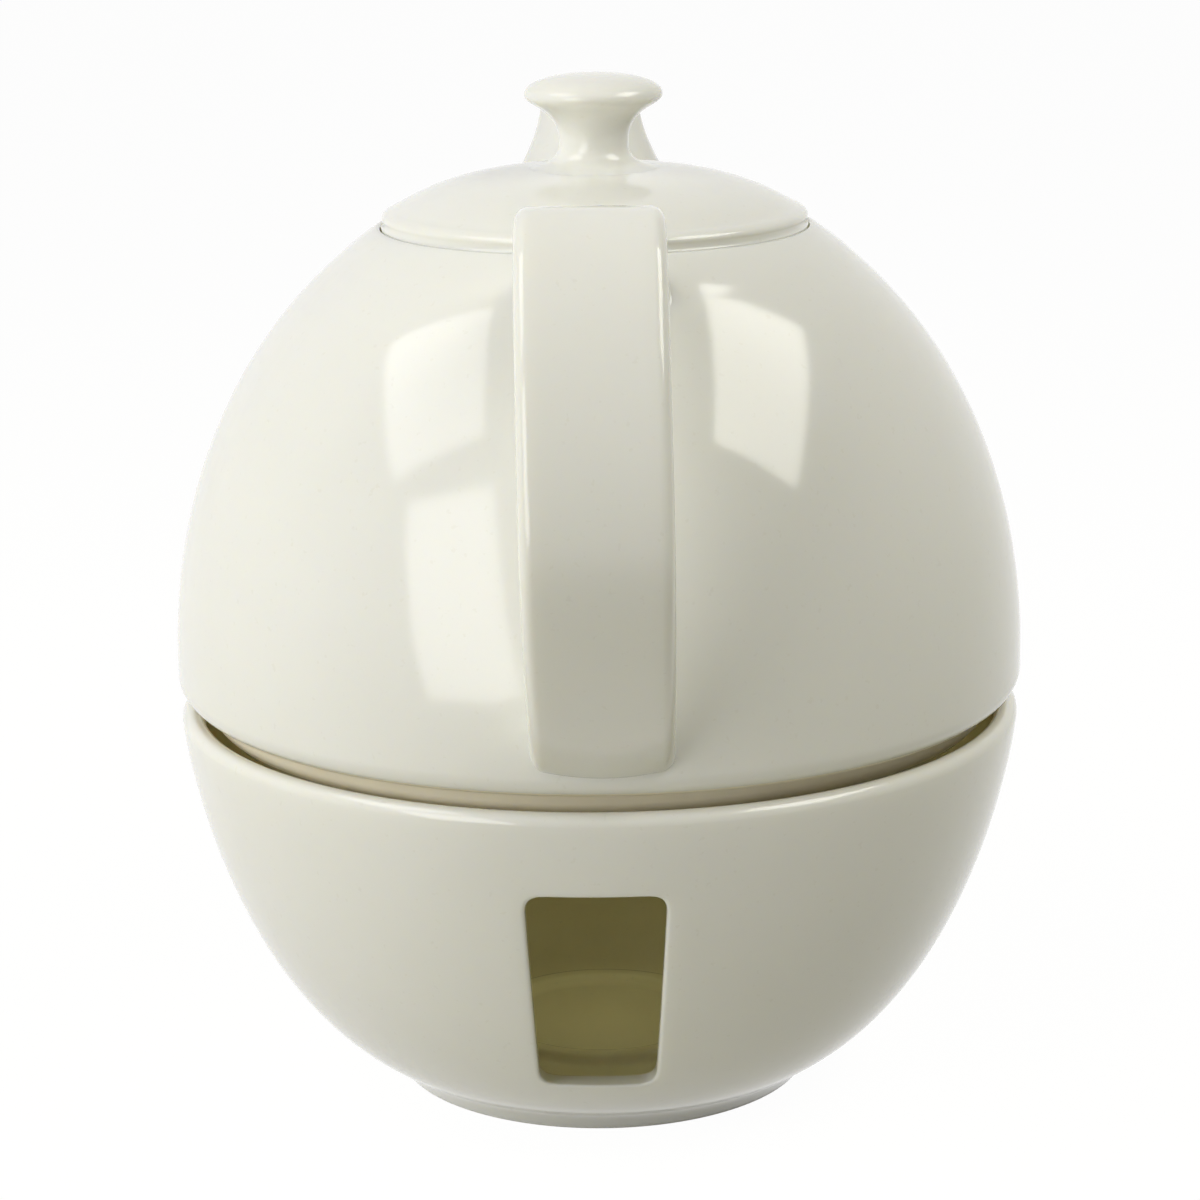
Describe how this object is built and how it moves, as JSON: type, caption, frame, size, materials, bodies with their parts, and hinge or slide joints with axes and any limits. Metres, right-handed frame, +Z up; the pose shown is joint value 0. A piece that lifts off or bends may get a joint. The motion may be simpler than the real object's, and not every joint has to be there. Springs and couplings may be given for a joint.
{
  "type": "teapot with warmer",
  "caption": "Round porcelain teapot with strap handle, spout and lift-off lid, sitting in a bowl-shaped tealight warmer of the same width with a small window.",
  "frame": {"origin": "centre of the warmer's foot ring, on the table", "axes": "+Z up along the lathe axis; +Y towards the spout, so the handle and the warmer's window are on the -Y side; +X to the right of someone who faces the handle"},
  "size_m": [0.1704, 0.246, 0.2039],
  "materials": {
    "pot_glaze": "glossy ivory white glaze",
    "warmer_glaze": "glossy ivory white glaze, foot ring left unglazed"
  },
  "bodies": {
    "warmer": {"warmer_bowl": "warmer_glaze", "rest_lug_1": "warmer_glaze", "rest_lug_2": "warmer_glaze", "rest_lug_3": "warmer_glaze", "rest_lug_4": "warmer_glaze"},
    "pot": {"pot_body": "pot_glaze", "pot_handle": "pot_glaze", "pot_spout": "pot_glaze"},
    "lid": {"lid_cover": "pot_glaze", "lid_knob": "pot_glaze"}
  },
  "joints": [
    {"name": "pot_lift", "type": "slide", "parent": "warmer", "child": "pot", "axis": [0, 0, 1], "range_m": [0, 0.12]},
    {"name": "lid_lift", "type": "slide", "parent": "pot", "child": "lid", "axis": [0, 0, 1], "range_m": [0, 0.06]}
  ]
}
